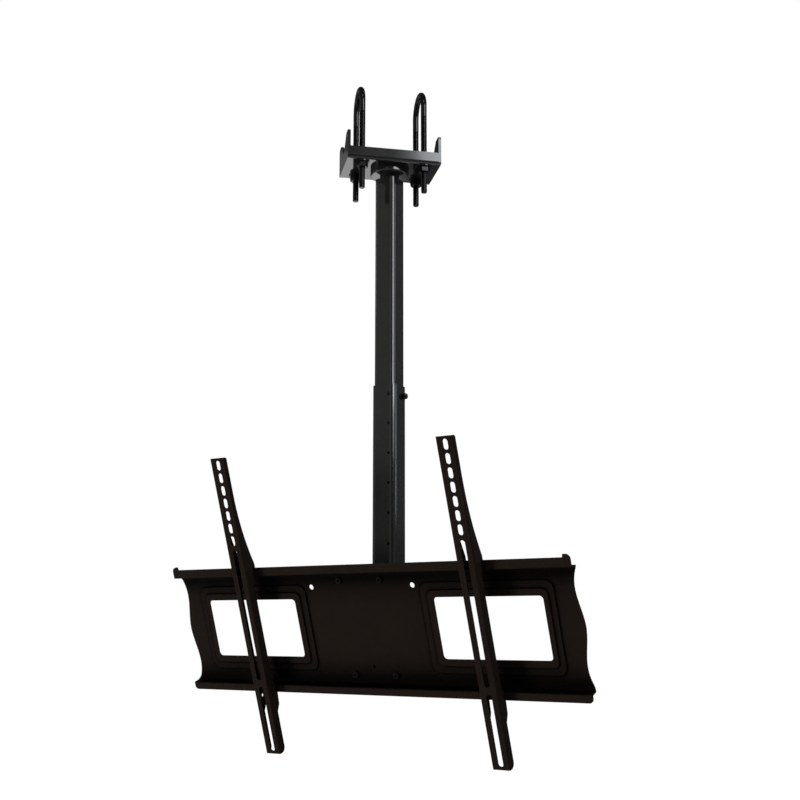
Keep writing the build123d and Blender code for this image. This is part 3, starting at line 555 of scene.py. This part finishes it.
def hex_nut(mesh, centre, side, high, flats, height, bore):
    """Nut with its axis along side x high. A corner of the hexagon points along side."""
    axis = side.cross(high)
    land = LAND * flats / 2
    half = height / 2
    profile = []
    for k in range(NUT_ROUND):
        turned = FULL_TURN * k / NUT_ROUND
        hexagon = flats / 2 / math.cos(turned % SIXTH - SIXTH / 2)
        drop = (hexagon - land) * CONE
        spoke = side * math.cos(turned) + high * math.sin(turned)
        profile.append((spoke, hexagon, half - drop))
    low_end = ((-half + BORE_BEVEL, bore), (-half, bore + BORE_BEVEL), (-half, land))
    rings = []
    for level, radius in low_end:
        rings.append([mesh.verts.new(centre + spoke * radius + axis * level) for spoke, _, _ in profile])
    for sign in (-1, 1):
        rings.append([mesh.verts.new(centre + spoke * r + axis * (sign * h)) for spoke, r, h in profile])
    for level, radius in reversed(low_end):
        rings.append([mesh.verts.new(centre + spoke * radius - axis * level) for spoke, _, _ in profile])
    skin_rings(mesh, rings, closed=True)


print("a nut has", NUT_ROUND, "points round, and cones of slope", round(CONE, 3))

# %% [markdown]
# ## Nuts on the legs
# Each leg has one nut under the tray and one inside it, which pinch the tray between them. Their levels and
# heights are measured on the boxes of the CAD nodes, so the new nuts sit where the CAD model has them. The
# four nuts of a level are one piece, as they are one node there.

# %% Nuts under and in the tray
ROD_NUT_FLATS = 17.0 * MM
BORE_PLAY = 0.1 * MM

for place in ("lower", "upper"):
    low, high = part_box(f"{place}_nuts")
    nuts = bmesh.new()
    for x in U_BOLT_PLACES.values():
        for y in (-LEG_PLACE, LEG_PLACE):
            middle_of_nut = clamp_point(x, y, (low.z + high.z) / 2 - UNDERSIDE)
            hex_nut(nuts, middle_of_nut, along, across, ROD_NUT_FLATS, high.z - low.z, ROD_R + BORE_PLAY)
    hand_in(nuts, f"{place}_rod_nuts", "clamp", "black_hardware", f"{place}_nuts")

# %% [markdown]
# ## Weld bead
# A bead is a row of overlapping drops, each frozen before the next one. It could be a row of flattened balls,
# but their seams would cost many faces. So a run is swept as a quarter round in the corner, its size swells
# and falls with each drop, and the drops bow towards the end of the run, as the melt does.

# %% One weld bead
BEAD = 3.2 * MM
BEAD_FILL = 0.86   # size of the quarter round, as a share of the bead
BEAD_CROWN = 0.8   # power that rounds it out
BEAD_ROUND = 7
BURIED = 0.3 * MM
BLUNT_END = 0.02
DROP = 1.7 * MM
DROP_STEPS = 5
DROP_BOW = 0.8     # in drops
DROP_SWELL = 0.13
DROP_MEAN = 0.6    # about the mean height of a drop, so that the bead keeps its size


def weld_bead(mesh, start, end, leg_a, leg_b):
    """Bead from start to end in the corner between two faces, its legs along leg_a and leg_b."""
    run = end - start
    count = int(run.length / DROP * DROP_STEPS)
    rings = []
    for step in range(count + 1):
        share = step / count
        taper = min(1.0, math.sqrt(max(BLUNT_END, min(share, 1 - share) * run.length / BEAD)))
        ring = [mesh.verts.new(start + run * share - (leg_a + leg_b) * BURIED)]
        for k in range(BEAD_ROUND):
            turned = math.pi / 2 * k / (BEAD_ROUND - 1)
            wave = (step / DROP_STEPS - DROP_BOW * math.sin(2 * turned)) % 1.0
            swell = taper * (1 + DROP_SWELL * (math.sin(math.pi * wave) - DROP_MEAN))
            edge = leg_a * math.cos(turned) ** BEAD_CROWN + leg_b * math.sin(turned) ** BEAD_CROWN
            sunk = BURIED if k in (0, BEAD_ROUND - 1) else 0.0
            outer = edge * BEAD * BEAD_FILL * swell - (leg_b if k == 0 else leg_a) * sunk
            ring.append(mesh.verts.new(start + run * share + outer))
        rings.append(ring)
    skin_rings(mesh, rings)
    mesh.faces.new(rings[0])
    mesh.faces.new(rings[-1])


print("a bead has", round(10 * MM / DROP, 1), "drops to the centimetre")

# %% [markdown]
# ## Welds in the tray
# The end plates are welded to the tray from inside, so that their outer faces stay clean. Each is held by
# three beads: one along the floor of the tray, and one up each flange. The sizes are those of the CAD model.
# The beads stand for no CAD solid, and wear the paint of the clamp.

# %% Weld the end plates to the tray
SHEET = 4.0 * MM
TRAY_HALF = 73.5 * MM
INNER_HALF = 42.0 * MM
FLANGE_TOP = 19.0 * MM
BEAD_START = 1.0 * MM  # of the upright beads, above the sheet

welds = bmesh.new()
for sign in (-1, 1):
    x = sign * TRAY_HALF
    inward = -along * sign
    near_end = clamp_point(x, -INNER_HALF + BEAD, SHEET)
    far_end = clamp_point(x, INNER_HALF - BEAD, SHEET)
    weld_bead(welds, near_end, far_end, inward, up)
    for flank in (-1, 1):
        low_end = clamp_point(x, flank * INNER_HALF, SHEET + BEAD_START)
        high_end = clamp_point(x, flank * INNER_HALF, FLANGE_TOP)
        weld_bead(welds, low_end, high_end, inward, -across * flank)
hand_in(welds, "tray_welds", "clamp", "gloss_black")

# %% [markdown]
# ## World
# The mount hangs in front of plain white. A white world would light it from all sides and turn the black
# grey. So the world is white where the camera looks straight at it, and nearly dark where it only lights the
# steel. A Light Path node tells the two apart.

# %% White world
WHITE = (1, 1, 1, 1)
WORLD_LIGHT = 0.05


def white_to_camera(tree, otherwise):
    """One for what the camera sees straight, another strength for all other light."""
    path = tree.nodes.new("ShaderNodeLightPath")
    return rescale(tree, path.outputs["Is Camera Ray"], 0.0, 1.0, otherwise, 1.0)


world = bpy.data.worlds.new("studio")
bpy.context.scene.world = world
world.use_nodes = True
sky = world.node_tree
background = sky.nodes["Background"]
background.inputs["Color"].default_value = WHITE
sky.links.new(white_to_camera(sky, WORLD_LIGHT), background.inputs["Strength"])
print("the world lights the steel with", WORLD_LIGHT, "of its white")

# %% [markdown]
# ## Floor
# A pale floor far below closes the room for views from above and throws a little light back up. It is white
# to the camera in the same way as the world, so no horizon shows. It belongs to the stage, not to the mount.

# %% Pale floor
FLOOR_SIZE = 60
FLOOR_DROP = 3.0
FLOOR_GREY = (0.55, 0.55, 0.55, 1)
FLOOR_ROUGH = 0.9

bpy.ops.mesh.primitive_plane_add(size=FLOOR_SIZE, location=(0, 0, cad_low.z - FLOOR_DROP))
floor = bpy.context.object
floor.name = "floor"
pale = bpy.data.materials.new("pale_floor")
pale.use_nodes = True
pale_tree = pale.node_tree
pale_shader = pale_tree.nodes["Principled BSDF"]
pale_shader.inputs["Base Color"].default_value = FLOOR_GREY
pale_shader.inputs["Roughness"].default_value = FLOOR_ROUGH
pale_shader.inputs["Emission Color"].default_value = WHITE
pale_tree.links.new(white_to_camera(pale_tree, 0.0), pale_shader.inputs["Emission Strength"])
floor.data.materials.append(pale)
floor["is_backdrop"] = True
print("floor at", round(floor.location.z, 3))

# %% [markdown]
# ## Soft boxes
# All lights are area lights, as the soft boxes of a studio. Each stands at an azimuth from the front, at a
# distance and a rise, and is turned to what it lights. That is how one speaks of lights on a set, and it is
# easier to change than a place and three angles.

# %% A soft box


def soft_box(name, azimuth, rise, distance, width, height, power, aim, colour=(1, 1, 1)):
    """Area light at an azimuth from the front, turned to its aim."""
    lamp = bpy.data.lights.new(name, "AREA")
    lamp.shape = "RECTANGLE"
    lamp.size = width
    lamp.size_y = height
    lamp.energy = power
    lamp.color = colour
    box = bpy.data.objects.new(name, lamp)
    bpy.context.scene.collection.objects.link(box)
    box.visible_camera = False
    turn = math.radians(azimuth)
    box.location = aim + Vector((math.sin(turn) * distance, -math.cos(turn) * distance, rise))
    box.rotation_euler = (aim - box.location).to_track_quat("-Z", "Y").to_euler()
    print(name, "shines with", round(power, 3), "W")
    return box


plate_low, plate_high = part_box("tv_plate")
plate_middle = (plate_low + plate_high) / 2
clamp_middle = Vector((0, 0, UNDERSIDE))
print("lights aim at", [round(v, 3) for v in plate_middle], "and", [round(v, 3) for v in clamp_middle])

# %% [markdown]
# ## Key lights
# Dull paint and gloss need different lights, and a light can be hidden from either. Three key lights, from
# the left, the rear and above, reach only the dull paint. The left one stands low and far off, so that the
# folds of the plate go dark and the rails throw a shadow. Seen in the gloss, they would be hard white spots.

# %% Key lights for the dull paint
for key in (
    soft_box("key_left", azimuth=-51, rise=-1.7, distance=9.0,
             width=2.0, height=2.0, power=730, aim=plate_middle),
    soft_box("key_rear", azimuth=195, rise=0.6, distance=6.0,
             width=2.0, height=2.0, power=340, aim=plate_middle),
    soft_box("key_top", azimuth=195, rise=4.0, distance=0.5,
             width=2.0, height=2.0, power=120, aim=clamp_middle),
):
    key.visible_glossy = False

# %% [markdown]
# ## Walls and panels
# Gloss shows what it mirrors, so the grey faces of the pole are the picture of dim walls. Two walls stand at
# the front and the right, and a ring of panels closes the room for views from all other sides. The ring is
# hidden from the dull paint, which has its keys.

# %% Dim walls and panels for the gloss
PANEL_AZIMUTHS = (8, 97, 190, 228, 266, 302)

soft_box("wall_front", azimuth=-9, rise=1.05, distance=3.2,
         width=4.8, height=2.2, power=3.95, aim=clamp_middle)
soft_box("wall_right", azimuth=49.5, rise=1.41, distance=3.2,
         width=0.56, height=0.7, power=0.145, aim=clamp_middle)
for azimuth in PANEL_AZIMUTHS:
    panel = soft_box(f"panel_{azimuth}", azimuth, rise=0.2, distance=3.4,
                     width=2.4, height=2.6, power=2.2, aim=clamp_middle)
    panel.visible_diffuse = False

# %% [markdown]
# ## Bright boxes
# The bright lines down the pole's corner are narrow pictures of boxes at the right, which shine a little
# cooler than the rest. A dim panel closes the gap behind them. Small boxes above and at the left draw lines
# on the round rods, and a glow far behind, below the mount, lights the underside of the clamp.

# %% Bright boxes for corners, rods and underside
COOL = (0.90, 0.96, 1.0)

soft_box("box_right", azimuth=73.2, rise=0.8, distance=2.4,
         width=1.4, height=1.44, power=31, aim=clamp_middle, colour=COOL)
soft_box("box_right_low", azimuth=73.2, rise=0.03, distance=2.4,
         width=1.4, height=0.3, power=2.1, aim=clamp_middle, colour=COOL)
soft_box("box_rear", azimuth=132, rise=0.5, distance=2.4,
         width=0.5, height=1.7, power=5.6, aim=clamp_middle, colour=COOL)
soft_box("panel_rear", azimuth=150, rise=0.6, distance=3.0,
         width=1.6, height=2.0, power=0.6, aim=clamp_middle)
soft_box("box_top", azimuth=40, rise=2.2, distance=1.8,
         width=0.5, height=0.5, power=5, aim=clamp_middle)
soft_box("strip_left", azimuth=-60, rise=1.0, distance=2.6,
         width=0.3, height=1.0, power=2.0, aim=clamp_middle)
soft_box("glow_behind", azimuth=219, rise=-1.9, distance=4.6,
         width=1.2, height=1.2, power=6.5, aim=clamp_middle)

# %% [markdown]
# ## Camera
# The photograph was taken from the right, at the height of the plate and looking up. Its lens and place were
# worked out from the corners of the plate and the slots of the rails. The Standard view is set, because it
# keeps white white and shows the blacks as deep as they are mixed.

# %% Camera
CAMERA_PLACE = Vector((0.9321, -1.4976, -0.8043))
CAMERA_UP = 11.40
CAMERA_TURN = 31.33
CAMERA_LENS = 50.4
CAMERA_SENSOR = 36

camera_data = bpy.data.cameras.new("camera")
camera_data.lens = CAMERA_LENS
camera_data.sensor_width = CAMERA_SENSOR
camera = bpy.data.objects.new("camera", camera_data)
bpy.context.scene.collection.objects.link(camera)
camera.location = CAMERA_PLACE
camera.rotation_euler = (math.radians(90 + CAMERA_UP), 0, math.radians(CAMERA_TURN))
bpy.context.scene.camera = camera
bpy.context.scene.view_settings.view_transform = "Standard"
print("camera looks up by", CAMERA_UP, "degrees")

# %% [markdown]
# ## The last box
# A detail may not make the mount bigger than its CAD model. So the box of the dressed mount is printed at
# the end, as the box of the CAD model was printed after loading.

# %% Box of the dressed mount
low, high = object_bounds()
print("visual box:", [round(v, 4) for v in high - low])
